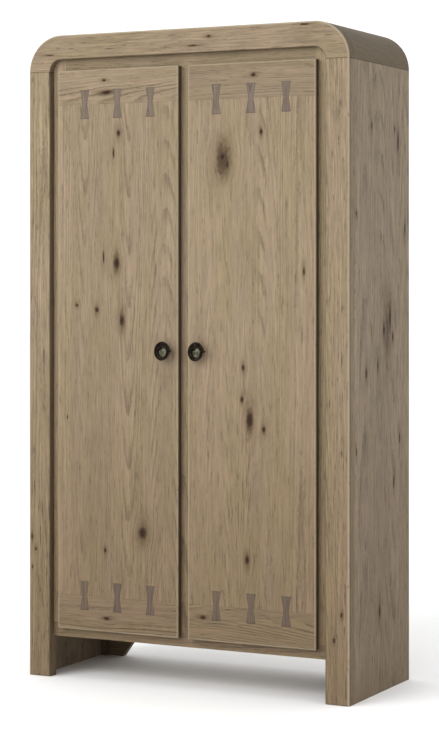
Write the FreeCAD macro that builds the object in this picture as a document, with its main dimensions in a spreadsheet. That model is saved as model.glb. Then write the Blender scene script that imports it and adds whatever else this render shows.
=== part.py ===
import FreeCAD, Part
import os
import re
import Sketcher
from FreeCAD import Rotation, Vector

# Two-door armoire with a round-cornered front casing, breadboard doors and scroll knobs.
# Frame: X to the right, Y to the back, Z up. The origin is on the floor, in the middle of the
# whole object's box. Places are written with Y measured back from the casing's front face,
# and "front" turns that into the part's own frame.

SIZES = [
    ("casing_width", 1067), ("casing_height", 1956), ("casing_depth", 457),
    # front casing and the shell behind it
    ("surround_width", 74), ("surround_depth", 37), ("corner_radius", 110), ("surround_round", 5),
    ("inner_round", 3), ("shell_thickness", 30),
    # recessed face frame
    ("frame_thickness", 22), ("centre_stile_width", 60), ("rail_height", 41),
    ("rail_bottom", 123.5), ("frame_gap", 2),
    # doors
    ("door_thickness", 22), ("door_round", 2.5), ("side_reveal", 29.5), ("top_reveal", 35),
    ("door_gap", 33.5), ("door_overlay", 13), ("end_height", 105), ("tongue_length", 14),
    ("tongue_thickness", 7), ("tongue_slack", 0.5), ("tongue_inset", 8),
    # butterfly keys
    ("key_height", 87), ("key_end_width", 30), ("key_waist", 16), ("key_depth", 6), ("key_spacing", 113),
    ("key_slack", 0.15),
    # knobs
    ("knob_setback", 39.5), ("knob_height", 1000), ("knob_standoff", 26), ("scroll_bar_radius", 3.4),
    ("scroll_radius", 23.1), ("scroll_pitch", 7.2), ("scroll_straight", 8), ("nib_length", 6),
    ("nib_rise", 2.3), ("nib_tip", 0.6), ("scroll_gap", 0.05),
    ("dish_thickness", 3), ("dish_lean", 3), ("dome_radius", 5), ("dome_height", 1.6), ("stem_radius", 7),
    ("stem_flare", 3), ("stem_flare_length", 6), ("foot_radius", 14), ("foot_thickness", 4), ("foot_cove", 2),
    ("knob_screw_radius", 2), ("knob_screw_end", 10), ("knob_screw_head", 2), ("knob_hole_slack", 0.5),
    ("turned_ease", 1),
    # cup hinges
    ("hinge_inset", 170), ("cup_radius", 17.5), ("cup_depth", 12.5),
    ("cup_setback", 20.5), ("cup_wall", 1), ("pin_setback", 6.8), ("pin_inset", 8), ("pin_radius", 1.2),
    ("pin_fit", 0.05), ("barrel_radius", 1.85), ("barrel_length", 8), ("lug_thickness", 2), ("lug_gap", 0.2),
    ("strap_thickness", 1.6), ("strap_reach", 21), ("plate_thickness", 1.5), ("plate_height", 40),
    ("flange_thickness", 1.2), ("flange_height", 60), ("plate_margin", 1), ("cup_screw_setback", 9),
    ("cup_screw_spread", 24), ("cup_screw_length", 14), ("plate_screw_spread", 14),
    ("plate_screw_length", 16),
    ("lug_inside", 2.4), ("lug_outside", 2.2), ("lug_back", 2), ("strap_drop", 3), ("arm_margin", 3),
    ("arm_foot_extra", 1),
    # screws, and how far a cutting shape passes the face that it cuts
    ("overcut", 1), ("hinge_screw_radius", 1.75), ("hinge_screw_head", 3.5), ("case_screw_radius", 2.2),
    ("case_screw_head", 4.4), ("screw_slack", 0.05),
    # inside
    ("board_thickness", 20), ("back_thickness", 12), ("housing_depth", 10), ("top_shelf_drop", 356),
    ("mid_shelf_height", 700), ("lower_shelf_height", 430), ("shelf_slack", 1), ("cleat_size", 20),
    ("pin_peg_radius", 3), ("pin_peg_length", 22), ("pin_peg_let_in", 12), ("peg_row_pitch", 32),
    ("peg_row_inset", 60), ("rod_radius", 14), ("rod_drop", 60), ("socket_radius", 26),
    ("socket_thickness", 12), ("catch_width", 40), ("catch_height", 14), ("catch_gap", 0.3),
    ("catch_setback", 4), ("strike_thickness", 1.2), ("strike_inset", 5), ("cleat_setback", 4),
    ("cleat_end_gap", 2), ("shelf_setback", 4), ("loose_shelf_setback", 6), ("loose_shelf_end_gap", 2),
    ("deck_screw_reach", 22), ("socket_fit", 0.2), ("socket_floor", 3), ("rod_end_gap", 4),
    # feet under the back
    ("bracket_thickness", 20), ("bracket_foot", 72), ("bracket_slant", 106), ("bracket_setback", 34),
    ("block_width", 24), ("block_depth", 18), ("block_screw_low", 35), ("block_screw_high", 100),
    ("block_screw_reach", 14),
]

# Lengths that follow from the sizes, in cabinet coordinates.
FORMULAS = {
    "half_width": "casing_width / 2",
    "front": "-(casing_depth - knob_reach) / 2",
    "knob_reach": "knob_standoff + scroll_bar_radius",
    "seam": "casing_height - corner_radius",
    "opening_half": "half_width - surround_width",
    "opening_top": "casing_height - surround_width",
    "inner_half": "half_width - shell_thickness",
    "inner_top": "casing_height - shell_thickness",
    "frame_front": "door_thickness + frame_gap",
    "frame_back": "frame_front + frame_thickness",
    "stile_edge": "door_outer - door_overlay",
    "door_outer": "opening_half - side_reveal",
    "door_inner": "door_gap / 2",
    "door_top": "opening_top - top_reveal",
    "rail_top": "rail_bottom + rail_height",
    "door_bottom": "rail_top - door_overlay",
    "top_rail_bottom": "door_top - door_overlay",
    "panel_top": "door_top - end_height",
    "panel_bottom": "door_bottom + end_height",
    "knob_x": "door_inner + knob_setback",
    "pin_x": "door_outer - pin_setback",
    "pin_depth": "door_thickness - pin_inset",
    "cup_x": "door_outer - cup_setback",
    "deck_bottom": "rail_top - board_thickness",
    "back_front": "casing_depth - back_thickness",
    "top_shelf_height": "casing_height - top_shelf_drop",
    "rod_height": "top_shelf_height - rod_drop",
    "middle_depth": "(frame_back + back_front) / 2",
    "bracket_back": "casing_depth - bracket_setback",
    "bracket_front": "bracket_back - bracket_thickness",
    "dish_back": "scroll_bar_radius + scroll_gap + dish_thickness - knob_standoff",
}

doc = FreeCAD.newDocument("armoire")
sheet = doc.addObject("Spreadsheet::Sheet", "sizes")
for row, (alias, number) in enumerate(SIZES, 1):
    sheet.set(f"A{row}", alias)
    sheet.set(f"B{row}", str(number))
    sheet.setAlias(f"B{row}", alias)
doc.recompute()
ALIASES = {alias for alias, number in SIZES}
nodes = {}


def formula(text):
    """Spell a length out in the sheet's cells, so that an object can be bound to it."""
    def spell(match):
        word = match.group()
        if word in FORMULAS:
            return "(" + formula(FORMULAS[word]) + ")"
        return "sizes." + word if word in ALIASES else word
    return re.sub(r"[a-z][a-z_]*", spell, str(text))


def measure(text):
    """The present value of a length, for code that needs the number itself."""
    return float(sheet.evalExpression(formula(text)))


def bind(item, **lengths):
    """Bind properties of an object to lengths."""
    for name, text in lengths.items():
        item.setExpression(name, formula(text))


def place(item, x, y, z):
    """Bind an object's place, given in cabinet coordinates."""
    for axis, text in (("x", x), ("y", f"front + {y}"), ("z", z)):
        item.setExpression("Placement.Base." + axis, formula(text))
    return item


def keep(label, item):
    """Name a finished piece; its label becomes its file's name."""
    item.Label = label
    nodes[label] = item
    return item


# ---- primitives and booleans ----

def block(x, y, z):
    """A box between two lengths along each axis."""
    item = doc.addObject("Part::Box", "block")
    bind(item, Length=f"({x[1]}) - ({x[0]})", Width=f"({y[1]}) - ({y[0]})", Height=f"({z[1]}) - ({z[0]})")
    return place(item, x[0], y[0], z[0])


TURNS = {
    "x": Rotation(Vector(0, 0, 1), Vector(1, 0, 0)),
    "y": Rotation(Vector(0, 0, 1), Vector(0, 1, 0)),
    "z": Rotation(),
    "-y": Rotation(Vector(0, 0, 1), Vector(0, -1, 0)),
}


def cylinder(radius, length, spot, way="z"):
    """A round bar from a spot, along an axis."""
    item = doc.addObject("Part::Cylinder", "bar")
    item.Placement.Rotation = TURNS[way]
    bind(item, Radius=radius, Height=length)
    return place(item, *spot)


def cone(start, end, length, spot, way="z"):
    """A cone from a spot, along an axis, from one radius to another."""
    item = doc.addObject("Part::Cone", "cone")
    item.Placement.Rotation = TURNS[way]
    bind(item, Radius1=start, Radius2=end, Height=length)
    return place(item, *spot)


def fuse(items):
    """Several shapes as one; pieces that don't touch stay separate solids."""
    item = doc.addObject("Part::MultiFuse", "joined")
    item.Shapes = items
    return item


def cut(base, tool):
    """A shape with another taken away."""
    item = doc.addObject("Part::Cut", "cut")
    item.Base = base
    item.Tool = tool
    return item


def common(base, tool):
    """What two shapes share."""
    item = doc.addObject("Part::Common", "shared")
    item.Base = base
    item.Tool = tool
    return item


def mirrored(item):
    """The same piece on the other side of the middle."""
    twin = doc.addObject("Part::Mirroring", "twin")
    twin.Source = item
    twin.Normal = Vector(1, 0, 0)
    return twin


def keep_pair(name, right):
    """Keep a right-hand piece and its left-hand twin."""
    keep(name + "_right", right)
    keep(name + "_left", mirrored(right))


# ---- bodies from sketches ----

def origin_plane(body, role):
    """One of a body's own origin planes."""
    return next(item for item in body.Origin.OriginFeatures if item.Role == role)


def outline(body, role, points):
    """A closed outline of straight lines on an origin plane, every corner tied to its two lengths."""
    sketch = body.newObject("Sketcher::SketchObject", "outline")
    sketch.AttachmentSupport = (origin_plane(body, role), "")
    sketch.MapMode = "FlatFace"
    corners = [Vector(measure(across), measure(up), 0) for across, up in points]
    for index, corner in enumerate(corners):
        following = corners[(index + 1) % len(corners)]
        sketch.addGeometry(Part.LineSegment(corner, following), False)
    for index, (across, up) in enumerate(points):
        sketch.addConstraint(Sketcher.Constraint("Coincident", index, 2, (index + 1) % len(points), 1))
        for kind, text in (("DistanceX", across), ("DistanceY", up)):
            number = sketch.addConstraint(Sketcher.Constraint(kind, -1, 1, index, 1, measure(text)))
            sketch.setExpression(f"Constraints[{number}]", formula(text))
    return sketch


def rectangle(x, y):
    """The corners of a rectangle between two lengths each way."""
    return [(x[0], y[0]), (x[1], y[0]), (x[1], y[1]), (x[0], y[1])]


def extrude(body, sketch, length, kind="PartDesign::Pad", backwards=False):
    """Pad or pocket a sketch by a length."""
    feature = body.newObject(kind, kind.split("::")[1].lower())
    feature.Profile = sketch
    feature.Reversed = backwards
    feature.setExpression("Length", formula(length))
    sketch.Visibility = False
    return feature


def slab(x, y, z):
    """A board padded upwards from its footprint."""
    body = doc.addObject("PartDesign::Body", "board")
    footprint = rectangle(("0", f"({x[1]}) - ({x[0]})"), ("0", f"({y[1]}) - ({y[0]})"))
    extrude(body, outline(body, "XY_Plane", footprint), f"({z[1]}) - ({z[0]})")
    return place(body, x[0], y[0], z[0])


def plate(points, y):
    """A flat shape drawn on the front view and given its thickness towards the back."""
    body = doc.addObject("PartDesign::Body", "plate")
    extrude(body, outline(body, "XZ_Plane", points), f"({y[1]}) - ({y[0]})", backwards=True)
    return place(body, "0", y[0], "0")


def round_edges(body, radius, test):
    """Round the edges of a body whose bounding boxes pass a test."""
    doc.recompute()
    base = body.Tip
    names = [f"Edge{number}" for number, edge in enumerate(base.Shape.Edges, 1) if test(edge.BoundBox)]
    rounding = body.newObject("PartDesign::Fillet", "rounding")
    rounding.Base = (base, names)
    rounding.setExpression("Radius", formula(radius))
    return body


def close(first, second):
    """Whether two numbers are the same place."""
    return abs(first - second) < 0.01


def arched(half, top, radius, y, legs=None):
    """An upright slab with two round top corners; legs = (half, top, radius) opens it from below."""
    body = doc.addObject("PartDesign::Body", "arched")
    depth = f"({y[1]}) - ({y[0]})"
    extrude(body, outline(body, "XY_Plane", rectangle((f"-({half})", half), ("0", depth))), top)
    if legs:
        hollow = rectangle((f"-({legs[0]})", legs[0]), ("0", depth))
        extrude(body, outline(body, "XY_Plane", hollow), legs[1], "PartDesign::Pocket", backwards=True)
    place(body, "0", y[0], "0")
    for side, height, bend in [(half, top, radius)] + ([legs] if legs else []):
        across = measure(side)
        up = measure(height)
        round_edges(body, bend, lambda box, across=across, up=up: (
            close(abs(box.XMin), across) and close(box.XMin, box.XMax)
            and close(box.ZMin, up) and close(box.ZMax, up)))
    return body


# ---- fasteners ----

def screw(spot, way, length, kind, slack="0"):
    """A countersunk screw whose head lies flush at the spot; slack makes it the hole for one."""
    x, y, z = spot
    radius = f"{kind}_screw_radius + {slack}"
    head = f"{kind}_screw_head + {slack}"
    shank = cylinder(radius, length, spot, way)
    cap = cone(head, radius, f"{kind}_screw_head - {kind}_screw_radius", spot, way)
    return [shank, cap]


def screws(spots, way, length, kind):
    """Identical screws, and the holes that they go in."""
    solids = fuse([piece for spot in spots for piece in screw(spot, way, length, kind)])
    holes = fuse([piece for spot in spots for piece in screw(spot, way, length, kind, "screw_slack")])
    return solids, holes


# ---- front casing and shell ----

surround = arched("half_width", "casing_height", "corner_radius", ("0", "surround_depth"),
                  ("opening_half", "opening_top", "corner_radius - surround_width"))
outside = measure("half_width")
crown = measure("casing_height")
round_edges(surround, "surround_round", lambda box: close(box.YMin, 0) and close(box.YMax, 0) and (
    close(abs(box.XMin), outside) or close(abs(box.XMax), outside) or close(box.ZMax, crown)))
round_edges(surround, "inner_round", lambda box: close(box.YMin, 0) and close(box.YMax, 0) and (
    max(abs(box.XMin), abs(box.XMax)) < measure("opening_half") + 0.1
    and box.ZMax < measure("opening_top") + 0.1 and not close(box.ZMax, 0)))
right_half = ("0", "half_width + overcut")
whole_width = ("-half_width - overcut", "half_width + overcut")
casing_run = ("-overcut", "surround_depth + overcut")
lower_z = ("-overcut", "seam")
upper_z = ("seam", "casing_height + overcut")
keep("front_arch", common(surround, block(whole_width, casing_run, upper_z)))
keep_pair("front_leg", common(surround, block(right_half, casing_run, lower_z)))

shell = arched("half_width", "casing_height", "corner_radius", ("surround_depth", "casing_depth"),
               ("inner_half", "inner_top", "corner_radius - shell_thickness"))
shell_run = ("surround_depth - overcut", "casing_depth + overcut")
corner_x = "half_width - corner_radius"
keep("top_panel", common(shell, block((f"-({corner_x})", corner_x), shell_run, upper_z)))
keep_pair("corner_shell", common(shell, block((corner_x, "half_width + overcut"), shell_run, upper_z)))
side_blank = common(shell, block(right_half, shell_run, lower_z))

# ---- face frame ----

frame_run = ("frame_front", "frame_back")
frame_cut = ("0", "frame_back + overcut")
rail_run = ("-opening_half", "opening_half")
keep("face_bottom_rail", slab(rail_run, frame_run, ("rail_bottom", "rail_top")))
keep("centre_stile", slab(("-centre_stile_width / 2", "centre_stile_width / 2"), frame_run,
                          ("rail_top", "top_rail_bottom")))
frame_blank = arched("opening_half", "opening_top", "corner_radius - surround_width", frame_run)
keep("face_top_rail", common(frame_blank, block(("-(stile_edge)", "stile_edge"), frame_cut,
                                                ("top_rail_bottom", "opening_top"))))
stile = common(frame_blank, block(("stile_edge", "half_width"), frame_cut, ("rail_top", "casing_height")))

# ---- hinges: cups, pins, arms and plates, all for the right-hand door ----

hinge_heights = ["door_bottom + hinge_inset", "(door_bottom + door_top) / 2", "door_top - hinge_inset"]
plate_x = ("stile_edge - plate_thickness", "stile_edge")
plate_run = ("frame_front + plate_margin", "frame_back - plate_margin")


def along(height, half):
    """A stretch of a length each side of a height."""
    return (f"{height} - ({half})", f"{height} + ({half})")


def cup_bore(height):
    """The hole in the door that a hinge cup fills."""
    spot = ("cup_x", "door_thickness - cup_depth", height)
    return cylinder("cup_radius", "cup_depth + overcut", spot, "y")


def cup_screw_spots(height):
    """The places of a cup's two screws, on the flange's back."""
    flange_back = "door_thickness + flange_thickness"
    return [("cup_x - cup_screw_setback", flange_back, f"{height} {sign} cup_screw_spread") for sign in "-+"]


def hinge_cup(height):
    """A cup with its flange, and two lugs that hold the pin."""
    floor = "door_thickness - cup_depth"
    outer = cylinder("cup_radius", "cup_depth", ("cup_x", floor, height), "y")
    flange_x = ("cup_x - cup_radius + plate_margin", "door_outer - strap_reach - plate_margin")
    flange_run = ("door_thickness", "door_thickness + flange_thickness")
    flange = block(flange_x, flange_run, along(height, "flange_height / 2"))
    inner_spot = ("cup_x", f"{floor} + cup_wall", height)
    inner = cylinder("cup_radius - cup_wall", "cup_depth + overcut", inner_spot, "y")
    lug_start = "barrel_length / 2 + lug_gap"
    lug_end = f"{lug_start} + lug_thickness"
    lug_x = ("pin_x - lug_inside", "pin_x + lug_outside")
    lug_run = (f"{floor} + cup_wall / 2", "pin_depth + lug_back")
    lugs = [block(lug_x, lug_run, (f"{height} + {lug_start}", f"{height} + {lug_end}")),
            block(lug_x, lug_run, (f"{height} - ({lug_end})", f"{height} - ({lug_start})"))]
    bore = cylinder("pin_radius", f"2 * ({lug_end})", ("pin_x", "pin_depth", f"{height} - ({lug_end})"))
    return cut(fuse([cut(fuse([outer, flange]), inner)] + lugs), bore)


def hinge_pin(height):
    """The pin that a cup turns on."""
    half = "(barrel_length / 2 + lug_gap + lug_thickness)"
    return cylinder("pin_radius", f"2 * {half}", ("pin_x", "pin_depth", f"{height} - {half}"))


def hinge_arm(height):
    """An arm that reaches from the plate round the door's edge and into the cup, with its barrel."""
    strap_low = "pin_depth - strap_drop"
    elbow_x = "door_outer - strap_reach"
    half = "barrel_length / 2"
    barrel = cylinder("barrel_radius", "barrel_length", ("pin_x", "pin_depth", f"{height} - {half}"))
    strap = block((elbow_x, "pin_x"), (strap_low, f"{strap_low} + strap_thickness"), along(height, half))
    arm_back = "frame_back - arm_margin"
    leg = block((elbow_x, f"{elbow_x} + strap_thickness"), (strap_low, arm_back), along(height, half))
    foot = block((f"{elbow_x} + strap_thickness / 2", plate_x[0]), ("frame_front + arm_margin", arm_back),
                 along(height, f"{half} + arm_foot_extra"))
    bore = cylinder("pin_radius + pin_fit", "barrel_length + 2 * overcut",
                    ("pin_x", "pin_depth", f"{height} - {half} - overcut"))
    return cut(fuse([barrel, strap, leg, foot]), bore)


cup_spots = [spot for height in hinge_heights for spot in cup_screw_spots(height)]
cup_screws, cup_holes = screws(cup_spots, "-y", "cup_screw_length", "hinge")
plate_spots = [(plate_x[0], "(frame_front + frame_back) / 2", f"{height} {sign} plate_screw_spread")
               for height in hinge_heights for sign in "-+"]
plate_screws, plate_holes = screws(plate_spots, "x", "plate_screw_length", "hinge")
keep_pair("hinge_cups", cut(fuse([hinge_cup(height) for height in hinge_heights]), cup_holes))
keep_pair("hinge_pins", fuse([hinge_pin(height) for height in hinge_heights]))
keep_pair("hinge_cup_screws", cup_screws)
keep_pair("hinge_arms", fuse([hinge_arm(height) for height in hinge_heights]))
hinge_plates = fuse([block(plate_x, plate_run, along(height, "plate_height / 2"))
                     for height in hinge_heights])
keep_pair("hinge_plates", cut(hinge_plates, plate_holes))
keep_pair("hinge_plate_screws", plate_screws)
keep_pair("face_stile", cut(stile, plate_holes))

# ---- doors ----

door_x = ("door_inner", "door_outer")
door_run = ("0", "door_thickness")
key_x = "(door_inner + door_outer) / 2"


def key_row(joint, slack):
    """Three butterfly keys across a joint; slack makes them the pockets that they are let into."""
    end = f"key_end_width / 2 + {slack}"
    waist = f"key_waist / 2 + {slack}"
    half = f"key_height / 2 + {slack}"
    keys = []
    for step in (-1, 0, 1):
        middle = f"{key_x} + {step} * key_spacing"
        side = [(end, f"-({half})"), (waist, "0"), (end, half)]
        right = [(f"{middle} + {across}", f"{joint} + {up}") for across, up in side]
        left = [(f"{middle} - ({across})", f"{joint} + {up}") for across, up in reversed(side)]
        keys.append(plate(right + left, ("0", f"key_depth + {slack}")))
    return fuse(keys)


def door_edges(skip):
    """A test for the long edges of a door piece, all but those at the joint face."""
    def test(box):
        lengthwise = box.XMax - box.XMin > 1 or box.ZMax - box.ZMin > 1
        at_joint = any(close(box.ZMin, height) and close(box.ZMax, height) for height in skip)
        return lengthwise and not at_joint
    return test


def tongue_block(joint, way, slack):
    """The tongue that enters a breadboard end from a joint; slack makes it the groove."""
    middle = "door_thickness / 2"
    thick = (f"{middle} - tongue_thickness / 2 - {slack}", f"{middle} + tongue_thickness / 2 + {slack}")
    reach = f"tongue_length + {slack}"
    tall = (joint, f"{joint} + {reach}") if way > 0 else (f"{joint} - ({reach})", joint)
    inset = f"tongue_inset - {slack}"
    return block((f"door_inner + {inset}", f"door_outer - ({inset})"), thick, tall)


panel_height = measure("panel_top - panel_bottom")
panel_blank = round_edges(slab(door_x, door_run, ("panel_bottom", "panel_top")), "door_round",
                          door_edges([0, panel_height]))
end_blanks = {
    "top": round_edges(slab(door_x, door_run, ("panel_top", "door_top")), "door_round", door_edges([0])),
    "bottom": round_edges(slab(door_x, door_run, ("door_bottom", "panel_bottom")), "door_round",
                          door_edges([measure("end_height")])),
}
joints = {"top": ("panel_top", 1), "bottom": ("panel_bottom", -1)}
knob_hole = cylinder("knob_screw_radius + knob_hole_slack", "door_thickness + 2 * overcut",
                     ("knob_x", "-overcut", "knob_height"), "y")
pockets = {end_name: key_row(height, "key_slack") for end_name, (height, way) in joints.items()}
tongued = fuse([panel_blank] + [tongue_block(height, way, "0") for height, way in joints.values()])
panel_cuts = fuse([cup_bore(height) for height in hinge_heights] + [knob_hole])
panel = cut(cut(cut(cut(tongued, panel_cuts), cup_holes), pockets["top"]), pockets["bottom"])
keep_pair("door_panel", panel)
for end_name, (height, way) in joints.items():
    grooved = cut(end_blanks[end_name], tongue_block(height, way, "tongue_slack"))
    keep_pair(f"door_{end_name}_end", cut(grooved, pockets[end_name]))
    keep_pair(f"door_{end_name}_keys", key_row(height, "0"))

# ---- catches and strikes ----

catch_start = "centre_stile_width / 2 + catch_setback"
catch_x = (catch_start, f"{catch_start} + catch_width")
catch_z = ("top_rail_bottom - catch_height", "top_rail_bottom")
strike_back = "door_thickness + strike_thickness"
catch = block(catch_x, (f"{strike_back} + catch_gap", "frame_back"), catch_z)
keep("door_catches", fuse([catch, mirrored(catch)]))
strike_x = (f"{catch_x[0]} + strike_inset", f"{catch_x[1]} - strike_inset")
strike = block(strike_x, ("door_thickness", strike_back), catch_z)
keep_pair("catch_strike", strike)

# ---- knobs ----

def revolved(points, spot):
    """A round piece from half its outline, given as (radius, way along) pairs, turned about Y."""
    body = doc.addObject("PartDesign::Body", "turned")
    sketch = outline(body, "XY_Plane", points)
    turning = body.newObject("PartDesign::Revolution", "turning")
    turning.Profile = sketch
    turning.ReferenceAxis = (sketch, ["V_Axis"])
    turning.Angle = 360
    return place(body, *spot)


def scroll_solid():
    """A bar bent into a flat spiral: half turns whose radius falls by half the pitch, joined by
    short upright straights. It runs from the outer left over the top, ends inside at the left,
    and has a pointed nib on its right side."""
    bar = measure("scroll_bar_radius")
    outermost = measure("scroll_radius")
    straight = measure("scroll_straight") / 2
    radius = outermost
    edges = []
    spot = Vector(-radius, 0, 0)
    way = 1
    for turn in range(4):
        rise = Vector(spot.x, 0, way * straight)
        edges.append(Part.LineSegment(spot, rise).toShape())
        centre = rise + Vector(way * radius, 0, 0)
        spot = centre + Vector(way * radius, 0, 0)
        edges.append(Part.Arc(rise, centre + Vector(0, 0, way * radius), spot).toShape())
        radius -= measure("scroll_pitch") / 2
        way = -way
    path = Part.Wire(edges)
    start = path.Edges[0].Vertexes[0].Point
    section = Part.Wire(Part.Circle(start, Vector(0, 0, 1), bar).toShape())
    coil = path.makePipeShell([section], True, False)
    nib_root = Vector(outermost, 0, measure("nib_rise"))
    nib_length = bar + measure("nib_length")
    nib = Part.makeCone(bar * 0.9, measure("nib_tip"), nib_length, nib_root, Vector(1, 0, 0))
    return coil.multiFuse([Part.makeSphere(bar, start), Part.makeSphere(bar, spot), nib])


knob_spot = ("knob_x", "0", "knob_height")
foot_line = [("knob_screw_radius + screw_slack", "0"), ("foot_radius", "0"),
             ("foot_radius - turned_ease", "turned_ease - foot_thickness"),
             ("stem_radius", "-foot_thickness - foot_cove"),
             ("stem_radius - turned_ease", "dish_back + stem_flare_length"),
             ("stem_radius + stem_flare", "dish_back"), ("knob_screw_radius + screw_slack", "dish_back")]
keep_pair("knob_stem", revolved(foot_line, knob_spot))
dish_face = "dish_back - dish_thickness"
dish_line = [("0", "dish_back"), ("scroll_radius - dish_lean", "dish_back"),
             ("scroll_radius", "dish_back - turned_ease"), ("scroll_radius - turned_ease", dish_face),
             ("dome_radius", dish_face),
             ("dome_radius / 2", f"{dish_face} - dome_height * 0.75"), ("0", f"{dish_face} - dome_height")]
keep_pair("knob_dish", revolved(dish_line, knob_spot))
for side, sign in (("right", ""), ("left", "-")):
    scroll = doc.addObject("Part::Feature", "scroll")
    scroll.Shape = scroll_solid()
    keep(f"knob_scroll_{side}", place(scroll, f"{sign}knob_x", "-knob_standoff", "knob_height"))
knob_screw_tip = "knob_screw_end - knob_standoff"
knob_head_top = "door_thickness + knob_screw_head"
knob_screw_line = [("0", knob_screw_tip), ("knob_screw_radius", knob_screw_tip),
                   ("knob_screw_radius", "door_thickness"), ("knob_screw_radius * 2.5", "door_thickness"),
                   ("knob_screw_radius * 2", knob_head_top), ("0", knob_head_top)]
keep_pair("knob_screw", revolved(knob_screw_line, knob_spot))

# ---- inside: deck, shelves, back ----

inside_run = ("frame_back", "back_front")
deck_z = ("deck_bottom", "rail_top")
deck = slab(("-inner_half", "inner_half"), inside_run, deck_z)
cleat_x = ("inner_half - cleat_size", "inner_half")
cleat = block(cleat_x, ("frame_back + cleat_setback", "bracket_front - block_depth - cleat_end_gap"),
              ("deck_bottom - cleat_size", "deck_bottom"))
keep("deck_cleats", fuse([cleat, mirrored(cleat)]))
housed_x = ("-inner_half - housing_depth", "inner_half + housing_depth")
shelf_run = ("frame_back + shelf_setback", "back_front")
shelf_z = {name: (f"{name}_height", f"{name}_height + board_thickness")
           for name in ("top_shelf", "mid_shelf")}
shelves = {name: slab(housed_x, shelf_run, span) for name, span in shelf_z.items()}
back_spots = [(f"{side} * inner_half", "casing_depth", f"{bottom} + board_thickness / 2")
              for bottom in ("deck_bottom", "top_shelf_height", "mid_shelf_height")
              for side in (-0.9, -0.3, 0.3, 0.9)]
back_screws, back_holes = screws(back_spots, "-y", "back_thickness + deck_screw_reach", "case")
back = arched("inner_half", "inner_top", "corner_radius - shell_thickness", ("back_front", "casing_depth"))
upper_back = block(whole_width, shell_run, ("deck_bottom", "casing_height"))
keep("back_panel", cut(common(back, upper_back), back_holes))
keep("bottom_deck", cut(deck, back_holes))
for name, shelf in shelves.items():
    keep(name, cut(shelf, back_holes))

# ---- lower shelf on its pegs, and the rows of peg holes ----

keep("lower_shelf", slab(("-inner_half + shelf_slack", "inner_half - shelf_slack"),
                         ("frame_back + loose_shelf_setback", "back_front - loose_shelf_end_gap"),
                         ("lower_shelf_height", "lower_shelf_height + board_thickness")))
peg_runs = ["frame_back + peg_row_inset", "back_front - peg_row_inset"]
peg_z = "lower_shelf_height - pin_peg_radius"
pegs = [cylinder("pin_peg_radius", "pin_peg_length",
                 ("inner_half + pin_peg_let_in - pin_peg_length", run, peg_z), "x") for run in peg_runs]
keep("shelf_pins", fuse(pegs + [mirrored(peg) for peg in pegs]))
peg_holes = [cylinder("pin_peg_radius + screw_slack", "pin_peg_let_in + 2 * overcut",
                      ("inner_half - overcut", run, f"{peg_z} + {step} * peg_row_pitch"), "x")
             for run in peg_runs for step in range(-2, 3)]
housing_x = ("inner_half - overcut", "inner_half + housing_depth")
housings = [block(housing_x, shelf_run, span) for span in shelf_z.values()]
keep_pair("side_panel", cut(side_blank, fuse(peg_holes + housings)))

# ---- hanging rod ----

socket_face = "inner_half - socket_thickness"
socket = cylinder("socket_radius", "socket_thickness", (socket_face, "middle_depth", "rod_height"), "x")
socket_bore = cylinder("rod_radius + socket_fit", "socket_thickness + overcut - socket_floor",
                       (f"{socket_face} - overcut", "middle_depth", "rod_height"), "x")
rod_socket = cut(socket, socket_bore)
keep("rod_sockets", fuse([rod_socket, mirrored(rod_socket)]))
rod_end = "inner_half - rod_end_gap"
rod_start = (f"-({rod_end})", "middle_depth", "rod_height")
keep("hanging_rod", cylinder("rod_radius", f"2 * ({rod_end})", rod_start, "x"))

# ---- bracket feet and glue blocks under the back ----

bracket_top = "deck_bottom"
bracket_line = [("inner_half - bracket_foot", "0"), ("inner_half", "0"), ("inner_half", bracket_top),
                ("inner_half - bracket_foot - bracket_slant", bracket_top)]
bracket = plate(bracket_line, ("bracket_front", "bracket_back"))
block_x = ("inner_half - block_width", "inner_half")
block_front = "bracket_front - block_depth"
glue_block = block(block_x, (block_front, "bracket_front"), ("0", "deck_bottom"))
foot_spots = [("inner_half - block_width / 2", block_front, height)
              for height in ("block_screw_low", "block_screw_high")]
foot_screws, foot_holes = screws(foot_spots, "y", "block_depth + block_screw_reach", "case")
keep_pair("rear_bracket", cut(bracket, foot_holes))
keep_pair("glue_block", cut(glue_block, foot_holes))
keep("case_screws", fuse([back_screws, foot_screws, mirrored(foot_screws)]))

# ---- checks and files ----

doc.recompute()
faults = [item.Label for item in doc.Objects if {"Invalid", "Error"} & set(item.State)]
faults += [label for label, item in nodes.items()
           if item.Shape.isNull() or not item.Shape.isValid() or not item.Shape.Solids]
if faults:
    raise SystemExit("not built: " + ", ".join(faults))
os.makedirs("parts", exist_ok=True)
for label, item in nodes.items():
    item.Shape.exportStep(f"parts/{label}.step")
print(len(nodes), "pieces")
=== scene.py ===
import math

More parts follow.
